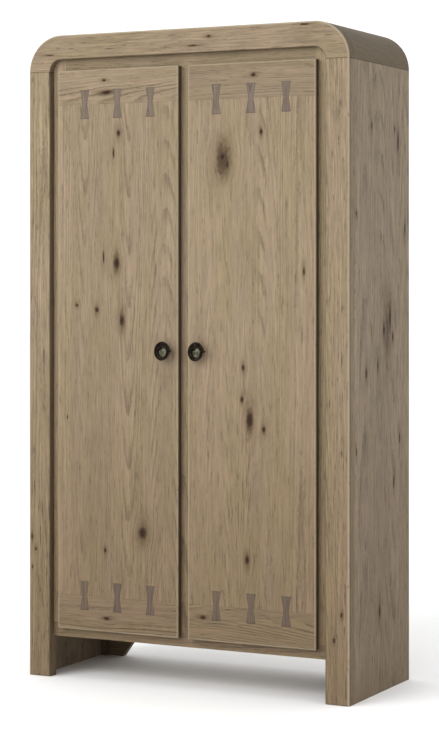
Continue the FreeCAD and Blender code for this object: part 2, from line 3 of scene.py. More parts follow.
import bmesh
import bpy
import numpy as np
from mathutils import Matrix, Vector


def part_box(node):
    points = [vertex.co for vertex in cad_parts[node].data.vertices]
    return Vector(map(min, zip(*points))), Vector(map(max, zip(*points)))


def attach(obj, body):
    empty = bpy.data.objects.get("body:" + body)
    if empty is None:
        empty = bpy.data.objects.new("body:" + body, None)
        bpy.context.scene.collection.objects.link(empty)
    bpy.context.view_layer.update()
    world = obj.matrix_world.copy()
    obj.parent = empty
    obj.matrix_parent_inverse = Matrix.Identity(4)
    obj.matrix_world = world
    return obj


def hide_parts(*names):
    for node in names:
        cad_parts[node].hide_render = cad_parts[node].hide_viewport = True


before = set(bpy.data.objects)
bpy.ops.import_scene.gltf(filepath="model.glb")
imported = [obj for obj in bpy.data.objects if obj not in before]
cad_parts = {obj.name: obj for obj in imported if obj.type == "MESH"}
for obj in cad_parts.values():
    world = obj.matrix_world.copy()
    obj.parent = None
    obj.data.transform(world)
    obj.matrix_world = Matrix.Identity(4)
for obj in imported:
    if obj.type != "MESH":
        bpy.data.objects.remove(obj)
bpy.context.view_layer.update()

# A tall two-door armoire in aged, waxed oak: round-cornered front casing, recessed face frame,
# breadboard doors with butterfly keys, and forged scroll knobs. Lengths are in metres.

# Places taken from the frame.
ARCH_LOW, ARCH_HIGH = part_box("front_arch")
FRONT = ARCH_LOW.y
CASE_HALF = ARCH_HIGH.x
CASE_TOP = ARCH_HIGH.z
SEAM = ARCH_LOW.z
CORNER = CASE_TOP - SEAM
LEG_LOW, LEG_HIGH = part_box("front_leg_right")
OPENING_HALF = LEG_LOW.x
SURROUND = CASE_HALF - OPENING_HALF
INNER_CORNER = CORNER - SURROUND
DOOR_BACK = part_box("door_panel_right")[1].y


# ---- shader arithmetic ----

class Socket:
    """A node's output that can be used in sums; each operation adds a Math node."""

    def __init__(self, shader, output):
        self.shader = shader
        self.output = output

    def math(self, operation, *others):
        values = dict(enumerate((self,) + others))
        return self.shader.add("ShaderNodeMath", {"operation": operation}, values)

    def __add__(self, other):
        return self.math("ADD", other)

    def __sub__(self, other):
        return self.math("SUBTRACT", other)

    def __rsub__(self, other):
        return self.shader.add("ShaderNodeMath", {"operation": "SUBTRACT"}, {0: other, 1: self})

    def __mul__(self, other):
        return self.math("MULTIPLY", other)

    def __truediv__(self, other):
        return self.math("DIVIDE", other)

    def __rtruediv__(self, other):
        return self.shader.add("ShaderNodeMath", {"operation": "DIVIDE"}, {0: other, 1: self})

    def __neg__(self):
        return self * -1.0

    __radd__ = __add__
    __rmul__ = __mul__

    def abs(self):
        return self.math("ABSOLUTE")

    def sqrt(self):
        return self.math("SQRT")

    def exp(self):
        return self.math("EXPONENT")

    def floor(self):
        return self.math("FLOOR")

    def fraction(self):
        return self.math("FRACT")

    def least(self, other):
        return self.math("MINIMUM", other)

    def most(self, other):
        return self.math("MAXIMUM", other)

    def step(self, low, high):
        """A smooth step from 0 at low to 1 at high; low may be the larger."""
        return self.shader.add("ShaderNodeMapRange", {"interpolation_type": "SMOOTHSTEP"},
                               {"Value": self, "From Min": low, "From Max": high})


# A Mix node has sockets for numbers, vectors and colours; these are the ones for colours.
MIX_FACTOR, MIX_FIRST, MIX_SECOND, MIX_RESULT = 0, 6, 7, 2


class Shader:
    """One material's node tree."""

    def __init__(self, name):
        self.material = bpy.data.materials.new(name)
        self.material.use_nodes = True
        self.tree = self.material.node_tree
        self.surface = self.tree.nodes["Principled BSDF"]
        self.place = self.add("ShaderNodeTexCoord", output="Object")

    def add(self, kind, settings=None, sockets=None, output=0):
        """Any node: its settings first, then the values or links of its sockets."""
        node = self.tree.nodes.new(kind)
        for key, value in (settings or {}).items():
            setattr(node, key, value)
        for key, value in (sockets or {}).items():
            if isinstance(value, Socket):
                self.tree.links.new(value.output, node.inputs[key])
            else:
                node.inputs[key].default_value = value
        return Socket(self, node.outputs[output])

    def split(self, vector):
        """A vector's three parts."""
        node = self.add("ShaderNodeSeparateXYZ", sockets={0: vector}).output.node
        return [Socket(self, part) for part in node.outputs]

    def join(self, *parts):
        """A vector of three parts."""
        return self.add("ShaderNodeCombineXYZ", sockets=dict(enumerate(parts)))

    def noise(self, vector, scale=1.0, detail=2.0, roughness=0.5):
        """Cloudy noise, so many cells to the metre."""
        return self.add("ShaderNodeTexNoise", {}, {
            "Vector": vector, "Scale": scale, "Detail": detail, "Roughness": roughness, "Distortion": 0.0})

    def random(self, number):
        """A fixed random number for each whole number."""
        return self.add("ShaderNodeTexWhiteNoise", {"noise_dimensions": "1D"}, {"W": number})

    def blend(self, factor, first, second, kind="MIX"):
        """A colour between two, by a factor."""
        return self.add("ShaderNodeMix", {"data_type": "RGBA", "blend_type": kind},
                        {MIX_FACTOR: factor, MIX_FIRST: first, MIX_SECOND: second}, MIX_RESULT)

    def finish(self, colour, roughness, height, depth, **constants):
        """Link the colour, the roughness and the bump, and set the constants on the shader's own sockets."""
        bump = self.add("ShaderNodeBump", {}, {"Height": height, "Distance": depth, "Strength": 1.0})
        for name, value in (("Base Color", colour), ("Roughness", roughness), ("Normal", bump)):
            self.tree.links.new(value.output, self.surface.inputs[name])
        for name, value in constants.items():
            self.surface.inputs[name.replace("_", " ")].default_value = value
        return self.material


# How much brighter than white the room lights the front.
LIGHT = 1.76


def tint(red, green, blue):
    """A colour given as it should look, in display values from 0 to 255, made linear and divided by
    the room's light."""
    parts = np.array([red, green, blue]) / 255
    linear = np.where(parts <= 0.04045, parts / 12.92, ((parts + 0.055) / 1.055) ** 2.4)
    return (*(linear / LIGHT).tolist(), 1.0)


# ---- wood ----

OAK = {
    "sand": tint(165, 146, 116),
    "pink": tint(168, 147, 121),
    "olive": tint(154, 136, 108),
    "pale": tint(200, 184, 158),
    "brown": tint(88, 70, 48),
    "knot": tint(46, 25, 9),
    "ember": tint(116, 90, 60),
    # Dark glue lines and grooves, and painted shade in the recesses round the doors and inside the opening.
    "joint_and_shade": tint(72, 54, 37),
}
KEY_WOOD = dict(OAK, sand=tint(134, 119, 103), pink=tint(131, 115, 104), olive=tint(122, 109, 93),
                brown=tint(80, 64, 54))
AXES = {"x": 0, "y": 1, "z": 2}

# Noises drawn out along the grain: cells to the metre across it and along it, and an offset that
# keeps one from repeating another.
BROAD = (24.0, 0.8, 3.0)
STREAK = (180.0, 4.5, 11.0)
FIBRE = (400.0, 15.0, 17.0)
DASHES = (250.0, 24.0, 23.0)
TICKS = (520.0, 38.0, 29.0)
PATCH = (10.0, 1.6, 37.0)
CLOUD = (26.0, 9.0, 41.0)

# How much each noise varies the wood's lightness; the clouds darken it where they are high.
STREAK_SHADE = 0.52
FIBRE_SHADE = 0.85
BROAD_SHADE = 0.34
CLOUD_SHADE = -0.22
PLANK_SHADE = 0.10

# How much the rings and the strokes darken the wood, and how much the painted shade towards the floor darkens
# and warms it.
RING_SHADE = 0.30
STROKE_SHADE = 0.32
LOW_PAINTED_SHADE = 0.23
LOW_SHADE_WARMTH = 0.06

# How far each mark takes the colour to its own.
OLIVE_STAIN = 0.30
PORE_STAIN = 0.45
EMBER_STAIN = 0.60
SMOKE_STAIN = 0.62
CORE_STAIN = 0.85
CASING_RUB = 0.80
BOARD_RUB = 0.42
GROOVE_GLAZE = 0.72
# Painted shade on the opening's inner faces.
OPENING_SHADE = 0.38
# A dark line along the opening's front edge.
ARRIS_DARKENING = 0.45

# The heights where the painted shade towards the floor starts and where it is darkest; the half widths
# of a glue line, of the casing's groove and of a worn edge, with and without their soft edges; the
# groove's place behind the front; the bump's depth; and the shader's specular level.
LOW_SHADE_FROM, LOW_SHADE_TO = 1.25, 0.05
SEAM_SOFT, SEAM_HARD = 0.0016, 0.0005
GROOVE_SOFT, GROOVE_HARD = 0.0024, 0.0008
RUB_SOFT, RUB_HARD = 0.0054, 0.0028
GROOVE = 0.011
WOOD_RELIEF = 0.0006
WOOD_GLOSS = 0.14


def edge_distance(parts, low, high):
    """For a point on a box, how far it is from the nearest edge: the middle one of its three
    distances to the pairs of faces."""
    gaps = [(parts[i] - low[i]).abs().least((parts[i] - high[i]).abs()) for i in range(3)]
    smaller = gaps[0].least(gaps[1])
    larger = gaps[0].most(gaps[1])
    return smaller.most(larger.least(gaps[2]))


def corner_distance(parts, half, top, radius):
    """How far a point is outside an upright outline with two round top corners: the length of the
    part of the offset beyond the corner's centre, less the corner's radius."""
    across = parts[0].abs() - (half - radius)
    up = parts[2] - (top - radius)
    beyond = (across.most(0.0) * across.most(0.0) + up.most(0.0) * up.most(0.0)).sqrt()
    return beyond + across.most(up).least(0.0) - radius


class Board:
    """A board's own directions and the noises that all its marks share."""

    def __init__(self, shader, along, across, plank, shift, wave):
        self.shader = shader
        self.parts = shader.split(shader.place)
        self.run = self.parts[AXES[along]]
        self.width = self.parts[AXES[across]]
        self.depth = self.parts[3 - AXES[along] - AXES[across]]
        self.number = (self.width + (shift + 5.0)) / plank
        self.plank = plank
        index = self.number.floor()
        self.chance = shader.random(index + shift * 7.0)
        self.chance_b = shader.random(index + (31.7 + shift * 3.0))
        deep = self.depth * 5.0 + self.chance * 9.0
        sway = shader.noise(shader.join(self.width * 5.0, self.run * 1.1, deep))
        self.mottle = shader.noise(shader.join(self.width * 110.0, self.run * 70.0, self.depth * 110.0),
                                   detail=3.0, roughness=0.6)
        self.specks = shader.noise(shader.join(self.width * 420.0, self.run * 170.0, self.depth * 420.0),
                                   detail=3.0, roughness=0.7)
        self.bent = self.width + (sway - 0.5) * wave

    def grain(self, across, along, offset, detail=3.0, roughness=0.6):
        """Noise drawn out along the bent grain: so many cells to the metre across and along."""
        depth = self.depth * across + (self.chance * 5.0 + offset)
        return self.shader.noise(self.shader.join(self.bent * across, self.run * along, depth),
                                 detail=detail, roughness=roughness)


class Skin:
    """A board's colour, roughness and height, which its marks change one after another."""

    def __init__(self, shader, palette, colour, rough, height):
        self.shader = shader
        self.palette = palette
        self.colour = colour
        self.rough = rough
        self.height = height

    def stain(self, mask, name):
        """Take the colour to one of the palette's by a mask."""
        self.colour = self.shader.blend(mask, self.colour, self.palette[name])

    def sink(self, mask):
        """Lower the surface by a mask."""
        self.height = self.height - mask


def place_knots(board, knots):
    """The masks of a board's knots, its cores and the smoky stain round them, and the grain bent
    round each. A knot is its place across and along, its size, how many times longer it is along
    the grain, how strong its stain is and how dark its heart."""
    core_mask = None
    stain_mask = None
    ragged = (board.mottle - 0.5) * 0.9 + (board.specks - 0.5) * 2.2
    for at_width, at_run, size, stretch, smoke, heart in knots:
        off_w = (board.width - at_width) / size
        off_r = (board.run - at_run) / (size * stretch)
        square = off_w * off_w + off_r * off_r
        board.bent = board.bent - (board.width - at_width) * ((square * -0.16).exp() * 0.7)
        core = (square.sqrt() + ragged).step(1.15, 0.40) * heart
        long = (board.run - at_run) / (size * stretch * 2.4)
        stain = ((off_w * off_w * 0.42 + long * long * 0.8) * -1.0).exp() * smoke
        core_mask = core if core_mask is None else core_mask.most(core)
        stain_mask = stain if stain_mask is None else stain_mask.most(stain)
    return core_mask, stain_mask


def late_wood(board, ring, shown):
    """The dark part of each year ring. The rings are shells about a pith line that lies beside the
    plank and is tilted a little, so that a flat face shows them as arches."""
    pith = (board.number.fraction() - (0.3 + board.chance * 0.4)) * board.plank + (board.bent - board.width)
    tilt = (board.chance_b - 0.5) * 0.09
    below = board.run * tilt + board.depth * 0.6 + (board.chance * 0.05 + 0.02)
    shells = ((pith * pith + below * below).sqrt() / ring + (board.mottle - 0.5) * 0.45).fraction()
    return shells.step(0.50, 0.92) * shells.step(1.0, 0.94) * (shown * 0.85 + 0.15)


def plain_oak(board, streak, ring, tone, figure, streaks, grey, palette):
    """Oak before its knots, joints and wear: year rings, streaks, fibres, strokes, pores and
    patches, and painted shade that darkens and warms it towards the floor."""
    shader = board.shader
    broad = board.grain(*BROAD, detail=2.0)
    late = late_wood(board, ring, broad.step(0.47, 0.62))
    fibre = board.grain(*FIBRE, roughness=0.7)
    patch = board.grain(*PATCH, detail=2.0)
    cloud = board.grain(*CLOUD)
    pores = board.grain(*TICKS, detail=2.0).step(0.58, 0.72) * (0.35 + late * 0.65)
    strokes = board.grain(*DASHES, detail=2.0).step(0.56, 0.68) * streak.step(0.58, 0.46)
    # Painted shade: the wood darkens and warms towards the floor.
    painted_low_shade = board.parts[2].step(LOW_SHADE_FROM, LOW_SHADE_TO)

    light = (streak - 0.5) * (STREAK_SHADE * streaks) + 1.0
    light = light * ((fibre - 0.5) * (FIBRE_SHADE * streaks) + 1.0)
    light = light * ((broad - 0.5) * BROAD_SHADE + 1.0) * ((cloud - 0.5) * CLOUD_SHADE + 1.0)
    light = light * (board.chance * PLANK_SHADE + (1.0 - PLANK_SHADE / 2))
    light = light * (1.0 - late * (RING_SHADE * figure)) * (1.0 - strokes * (STROKE_SHADE * streaks)) * tone
    light = light * (1.0 - painted_low_shade * LOW_PAINTED_SHADE)
    warm = 1.0 - painted_low_shade * LOW_SHADE_WARMTH

    colour = shader.blend(patch.step(0.40, 0.60), palette["sand"], palette["pink"])
    colour = shader.blend(cloud.step(0.50, 0.70) * OLIVE_STAIN, colour, palette["olive"])
    colour = shader.blend(1.0, colour, shader.join(light, light * warm, light * warm * warm), "MULTIPLY")
    if grey:
        colour = shader.add("ShaderNodeHueSaturation", {}, {"Saturation": 1.0 - grey, "Color": colour})
    height = (fibre - 0.5) * 0.35 - late * 0.12 - pores * 0.5 - strokes * 0.25
    skin = Skin(shader, palette, colour, 0.62 + (fibre - 0.5) * 0.25, height)
    skin.stain(pores * PORE_STAIN, "brown")
    return skin


def mark_knots(skin, board, streak, cores, stains):
    """Stain and sink the knots; the smoke round them is broken up along the grain."""
    breaks = streak * 1.3 + board.specks * 0.9 + (board.mottle - 0.5) * 1.5
    ragged = (stains * breaks).least(1.0).most(0.0)
    skin.stain(ragged * EMBER_STAIN, "ember")
    skin.stain((ragged * ragged) * SMOKE_STAIN, "knot")
    skin.stain(cores * CORE_STAIN, "knot")
    skin.sink(cores * 1.2)
    skin.rough = skin.rough + cores * 0.1


def mark_seams(skin, parts, seams):
    """Dark glue lines, each where one axis has one value, of a given strength."""
    for axis, spot, strength in seams:
        line = (parts[AXES[axis]] - spot).abs().step(SEAM_SOFT, SEAM_HARD) * strength
        skin.stain(line, "joint_and_shade")
        skin.sink(line)


def mark_casing(skin, parts, flank_tone):
    """Darken the casing's outer flank behind its groove, draw the groove, paint shade on the inside of
    the opening and darken a line along its front edge. Gives each point's distance from the casing's
    outer front edge."""
    outer = corner_distance(parts, CASE_HALF, CASE_TOP, CORNER)
    inner = corner_distance(parts, OPENING_HALF, CASE_TOP - SURROUND, INNER_CORNER)
    behind = parts[1] - FRONT
    outside = outer.step(-0.0030, -0.0008)
    flank = outside * behind.step(GROOVE - 0.003, GROOVE)
    skin.colour = skin.shader.blend(flank, skin.colour, (flank_tone, flank_tone, flank_tone, 1.0), "MULTIPLY")
    groove = outside * (behind - GROOVE).abs().step(GROOVE_SOFT, GROOVE_HARD)
    skin.stain(groove * GROOVE_GLAZE, "joint_and_shade")
    skin.sink(groove)
    # Painted shade on the opening's inner faces, behind the front.
    within = inner.step(0.004, 0.0012)
    skin.stain(within * (behind.step(0.001, 0.004) * OPENING_SHADE), "joint_and_shade")
    # A dark line along the opening's front edge.
    arris = within * behind.step(0.0035, 0.0015) * behind.step(-0.001, 0.0005)
    skin.stain(arris * ARRIS_DARKENING, "joint_and_shade")
    return (-outer).most(behind)


def wood(name, box, along, across, knots=(), plank=0.13, shift=0.0, tone=1.0, grey=0.0, ring=0.0045,
         worn=True, casing=None, hollow=None, seams=(), figure=1.0, streaks=1.0, wave=0.03, palette=OAK):
    """Aged oak whose grain runs along one axis, in planks of one width, each with its own pith.

    The grain bends round the knots. casing is how light the casing's flank is, and hollow is the
    start, the end, the last depth and the strength of the painted shade on a door's edges, in the gaps."""
    shader = Shader(name)
    board = Board(shader, along, across, plank, shift, wave)
    cores, stains = place_knots(board, knots)
    streak = board.grain(*STREAK)
    skin = plain_oak(board, streak, ring, tone, figure, streaks, grey, palette)
    if knots:
        mark_knots(skin, board, streak, cores, stains)
    mark_seams(skin, board.parts, seams)
    if casing:
        edge = mark_casing(skin, board.parts, casing)
    elif worn:
        edge = edge_distance(board.parts, *box)
    if worn:
        rub = edge.step(RUB_SOFT, RUB_HARD) * board.mottle.step(0.24, 0.46)
        skin.stain(rub * (CASING_RUB if casing else BOARD_RUB), "pale")
    # Painted shade on a door's edges behind its front, where they face the gaps.
    if hollow:
        start, end, stop, amount = hollow
        inside = board.parts[1].step(start, end) * board.parts[1].step(stop, stop - 0.0008)
        skin.stain(inside * amount, "joint_and_shade")
    return shader.finish(skin.colour, skin.rough, skin.height, WOOD_RELIEF, Specular_IOR_Level=WOOD_GLOSS)


def node_box(name):
    """A CAD node's corners as plain lists."""
    return [list(corner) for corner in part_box(name)]


def dress(name, material):
    """Give a CAD node its material."""
    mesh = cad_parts[name].data
    mesh.materials.clear()
    mesh.materials.append(material)


def spots(box, across, along, shares):
    """Knots given as shares of a box, turned into places."""
    low, high = box
    places = []
    for share_across, share_along, size, stretch, smoke, *heart in shares:
        at_width = low[AXES[across]] + share_across * (high[AXES[across]] - low[AXES[across]])
        at_run = low[AXES[along]] + share_along * (high[AXES[along]] - low[AXES[along]])
        places.append((at_width, at_run, size, stretch, smoke, heart[0] if heart else 1.0))
    return places


def swap(knots):
    """Knots given as share across the face and share up, for a board that lies across."""
    return [(up, across, *rest) for across, up, *rest in knots]


def dress_board(node, name, along, across, knots=(), box=None, **finish):
    """Give a CAD board its wood. Its knots are shares of its own box, or of the one given."""
    box = box or node_box(node)
    dress(node, wood(name, box, along, across, spots(box, across, along, knots), **finish))


# Knots of each board: share across, share along, size, how much longer than wide, stain, and the
# heart where it is not whole. A door's ends have theirs as share across and share up.
DOOR_KNOTS = {
    "left": [(0.51, 0.885, 0.007, 1.4, 0.8), (0.495, 0.655, 0.010, 1.8, 0.9),
             (0.385, 0.665, 0.004, 5.0, 0.4), (0.16, 0.58, 0.006, 0.9, 0.6), (0.33, 0.572, 0.007, 1.2, 0.7),
             (0.54, 0.553, 0.008, 2.0, 0.9), (0.08, 0.38, 0.003, 2.0, 0.3), (0.71, 0.18, 0.014, 1.2, 0.9),
             (0.40, 0.145, 0.005, 1.6, 0.6), (0.47, 0.85, 0.004, 4.0, 0.5)],
    "right": [(0.28, 0.835, 0.018, 1.35, 1.20, 0.35), (0.275, 0.838, 0.008, 1.3, 0.9),
              (0.315, 0.825, 0.006, 1.8, 0.8, 0.8), (0.58, 0.88, 0.006, 1.6, 0.7),
              (0.91, 0.64, 0.004, 3.0, 0.6), (0.44, 0.475, 0.006, 1.6, 0.6), (0.43, 0.42, 0.006, 1.6, 0.6),
              (0.49, 0.385, 0.011, 2.2, 0.9), (0.60, 0.37, 0.006, 1.5, 0.8), (0.47, 0.145, 0.007, 1.8, 0.8)],
}
END_KNOTS = {
    ("top", "left"): [(0.39, 0.98, 0.004, 1.6, 0.7), (0.41, 0.958, 0.006, 2.6, 0.9)],
    ("bottom", "left"): [(0.41, 0.024, 0.006, 1.8, 0.6)],
    ("top", "right"): [(0.52, 0.978, 0.006, 1.0, 0.8)],
    ("bottom", "right"): [(0.12, 0.04, 0.006, 1.8, 0.7)],
}
SIDE_KNOTS = [(0.31, 0.90, 0.005, 2.8, 0.6), (0.73, 0.90, 0.005, 2.4, 0.5), (0.79, 0.88, 0.007, 4.5, 0.7),
              (0.04, 0.76, 0.005, 2.0, 0.4), (0.92, 0.74, 0.006, 4.0, 0.6), (0.64, 0.597, 0.008, 4.0, 0.9),
              (0.53, 0.577, 0.007, 2.6, 0.9), (0.69, 0.565, 0.006, 1.8, 0.8),
              (0.58, 0.550, 0.004, 9.0, 0.7, 0.5), (0.60, 0.582, 0.022, 2.0, 0.75, 0.0),
              (0.21, 0.51, 0.007, 2.6, 0.7), (0.42, 0.52, 0.005, 4.0, 0.6), (0.82, 0.40, 0.006, 3.0, 0.6),
              (0.04, 0.39, 0.005, 3.0, 0.5), (0.71, 0.33, 0.007, 3.0, 0.6), (0.45, 0.13, 0.008, 2.4, 0.7)]
LEG_KNOTS = {
    "left": [(0.14, 0.23, 0.004, 2.0, 0.6), (0.33, 0.21, 0.004, 1.4, 0.6), (0.16, 0.18, 0.003, 2.0, 0.5)],
    "right": [(0.69, 0.14, 0.004, 2.0, 0.7), (0.38, 0.10, 0.004, 2.0, 0.6)],
}
ARCH_KNOTS = [(0.75, 0.58, 0.004, 1.4, 0.8), (0.52, 0.53, 0.003, 6.0, 0.6), (0.92, 0.87, 0.003, 5.0, 0.6),
              (0.46, 0.07, 0.002, 6.0, 0.5)]
TOP_KNOTS = [(0.3, 0.4, 0.008, 1.6, 0.8), (0.7, 0.7, 0.006, 2.0, 0.7)]
INSIDE_KNOTS = [(0.35, 0.4, 0.007, 1.5, 0.7), (0.75, 0.65, 0.005, 2.0, 0.6)]
BACK_KNOTS = [(0.2, 0.7, 0.009, 2.0, 0.9), (0.6, 0.35, 0.008, 1.6, 0.8), (0.8, 0.8, 0.007, 2.0, 0.8)]

# How light the wood is where it differs from board to board at the doors' ends.
END_TONE = {("top", "left"): 0.96, ("bottom", "left"): 0.95,
            ("top", "right"): 0.89, ("bottom", "right"): 0.95}
# Painted shade on the left leg and painted light on the right one, evening out the key light from the left.
LEG_PAINTED_LIGHT = {"left": 0.945, "right": 1.03}

# How dark the glue lines are: in the casing and shell, where the shell meets the casing, and in a door.
SEAM_GLAZE = 0.7
SHELL_GLAZE = 0.8
DOOR_GLAZE = 0.30


def dress_doors():
    """The boards of both doors."""
    # Painted shade on the doors' edges where they lie behind the front, in the gaps round the doors.
    painted_edge_shade = (FRONT + 0.0035, FRONT + 0.008, DOOR_BACK, 0.78)
    for side, shift in (("left", 0.04), ("right", 0.31)):
        whole = (node_box(f"door_bottom_end_{side}")[0], node_box(f"door_top_end_{side}")[1])
        dress_board(f"door_panel_{side}", f"door_oak_{side}", "z", "x", DOOR_KNOTS[side], whole,
                    plank=0.137, shift=shift, hollow=painted_edge_shade)
        for end in ("top", "bottom"):
            node = f"door_{end}_end_{side}"
            joint = node_box(node)[0 if end == "top" else 1][2]
            dress_board(node, f"{end}_end_oak_{side}", "x", "z", swap(END_KNOTS[end, side]), whole,
                        plank=0.24, figure=1.7, wave=0.07, shift=shift + len(end) * 0.1,
                        tone=END_TONE[end, side], hollow=painted_edge_shade, seams=[("z", joint, DOOR_GLAZE)])


def dress_case():
    """The casing, the shell behind it and the face frame."""
    seams = [("z", SEAM, SEAM_GLAZE)]
    shell_seams = seams + [("y", node_box("side_panel_left")[0][1], SHELL_GLAZE)]
    for side in ("left", "right"):
        dress_board(f"front_leg_{side}", f"leg_oak_{side}", "z", "x", LEG_KNOTS[side], casing=0.84,
                    tone=LEG_PAINTED_LIGHT[side], streaks=1.5, shift=0.5 + len(side) * 0.1, seams=seams)
        dress_board(f"side_panel_{side}", f"side_oak_{side}", "z", "y", SIDE_KNOTS, plank=0.11, shift=0.2,
                    tone=0.98, grey=0.10, worn=False, streaks=1.7, seams=shell_seams)
        dress_board(f"corner_shell_{side}", f"corner_oak_{side}", "y", "z", plank=0.6, tone=0.485,
                    worn=False, figure=0.3, streaks=0.5, seams=shell_seams)
        dress_board(f"face_stile_{side}", f"stile_oak_{side}", "z", "x", shift=0.9, tone=1.30, worn=False)
        dress_board(f"rear_bracket_{side}", f"bracket_oak_{side}", "x", "z", tone=0.75, worn=False)
        dress_board(f"glue_block_{side}", f"block_oak_{side}", "z", "x", tone=0.6, worn=False)
    # The arch's tone of 0.93 is painted shade against the key light, which falls more strongly near the top.
    dress_board("front_arch", "arch_oak", "x", "z", ARCH_KNOTS, shift=0.7, casing=0.48, tone=0.93,
                streaks=1.4, seams=seams)
    dress_board("top_panel", "top_oak", "x", "y", TOP_KNOTS, shift=0.12, tone=0.85, grey=0.15, worn=False)
    dress_board("centre_stile", "mullion_oak", "z", "x", tone=1.20, worn=False)
    for edge in ("top", "bottom"):
        dress_board(f"face_{edge}_rail", f"oak_{edge}_rail", "x", "z", shift=0.2, worn=False)


def dress_inside():
    """Shelves, deck, cleats and back."""
    shifts = {"bottom_deck": 0.1, "top_shelf": 0.35, "mid_shelf": 0.6, "lower_shelf": 0.85,
              "deck_cleats": 0.2}
    for node, shift in shifts.items():
        dress_board(node, f"{node}_oak", "x", "y", INSIDE_KNOTS, shift=shift, tone=1.05)
    dress_board("back_panel", "back_oak", "z", "x", BACK_KNOTS, plank=0.2, shift=0.45, worn=False, tone=0.9)


# ---- metal ----

# Cells to the metre of the metals' cloudy wear, their dents and their fine scratches.
CLOUD_CELLS = 70.0
DENT_CELLS = 260.0
FINE_CELLS = 900.0


def metal(name, base, worn_colour, roughness, depth=0.0002, metallic=1.0):
    """Metal with cloudy wear, fine scratches and a hammered or cast surface."""
    shader = Shader(name)
    cloud = shader.noise(shader.place, CLOUD_CELLS, 4.0, 0.6)
    fine = shader.noise(shader.place, FINE_CELLS, 3.0, 0.6)
    dents = shader.noise(shader.place, DENT_CELLS)
    colour = shader.blend(cloud.step(0.42, 0.68), base, worn_colour)
    rough = roughness + (fine - 0.5) * 0.25 + (cloud - 0.5) * 0.2
    return shader.finish(colour, rough, dents * 0.7 + fine * 0.3, depth, Metallic=metallic)


def dress_hardware(iron, plated, screw, plastic):
    """Hinges, screws, pegs, rod and catches."""
    for side in ("left", "right"):
        for node in ("hinge_cups", "hinge_pins", "hinge_arms", "hinge_plates", "catch_strike"):
            dress(f"{node}_{side}", plated)
        for node in ("hinge_cup_screws", "hinge_plate_screws", "knob_screw"):
            dress(f"{node}_{side}", screw)
        dress(f"knob_stem_{side}", iron)
    for node in ("hanging_rod", "rod_sockets", "shelf_pins"):
        dress(node, plated)
    dress("case_screws", screw)
    dress("door_catches", plastic)


# ---- pieces made from surfaces ----

def piece(name, grids, body, material, stands_for):
    """A mesh from grids of points, each an array of rows and columns; doubled points at seams and
    poles are merged and the faces turned outwards."""
    shape = bmesh.new()
    for points in grids:
        rows, columns = points.shape[:2]
        mesh = bpy.data.meshes.new("grid")
        first = (np.arange(rows - 1)[:, None] * columns + np.arange(columns - 1)[None, :]).ravel()
        faces = np.stack([first, first + 1, first + columns + 1, first + columns], axis=1)
        mesh.from_pydata(points.reshape(-1, 3).tolist(), [], faces.tolist())
        shape.from_mesh(mesh)
        bpy.data.meshes.remove(mesh)
    bmesh.ops.remove_doubles(shape, verts=shape.verts, dist=1e-6)
    bmesh.ops.recalc_face_normals(shape, faces=shape.faces)
    mesh = bpy.data.meshes.new(name)
    shape.to_mesh(mesh)
    shape.free()
    mesh.polygons.foreach_set("use_smooth", np.ones(len(mesh.polygons), bool))
    mesh.materials.append(material)
    item = bpy.data.objects.new(name, mesh)
    bpy.context.scene.collection.objects.link(item)
    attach(item, body)
    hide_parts(stands_for)


# The scroll: its radius, how far it steps in, closes and curls, how far it turns in half turns, how
# much taller than wide it is, how deep its hammered facets are, and the shares of its length over
# which its ends round off. The nib: its height above the middle, its reach, its thickness in bars,
# how hollow its sides are, and the most that it stands out at the front, in bars.
SCROLL_RADIUS = 0.0231
SCROLL_STEP = 0.0058
SCROLL_CLOSE = 0.0010
SCROLL_CURL = 0.0050
SCROLL_HALF_TURNS = 4.92
SCROLL_STRETCH = 1.15
SCROLL_FACET = 0.045
SCROLL_HEAD, SCROLL_TAIL = 0.012, 0.05
NIB_RISE = 0.0030
NIB_REACH = 0.0059
NIB_THICK = 1.15
NIB_HOLLOW = 0.25
NIB_FRONT = 0.97


def ease(value):
    """A smooth step from 0 to 1."""
    value = np.clip(value, 0, 1)
    return value * value * (3 - 2 * value)


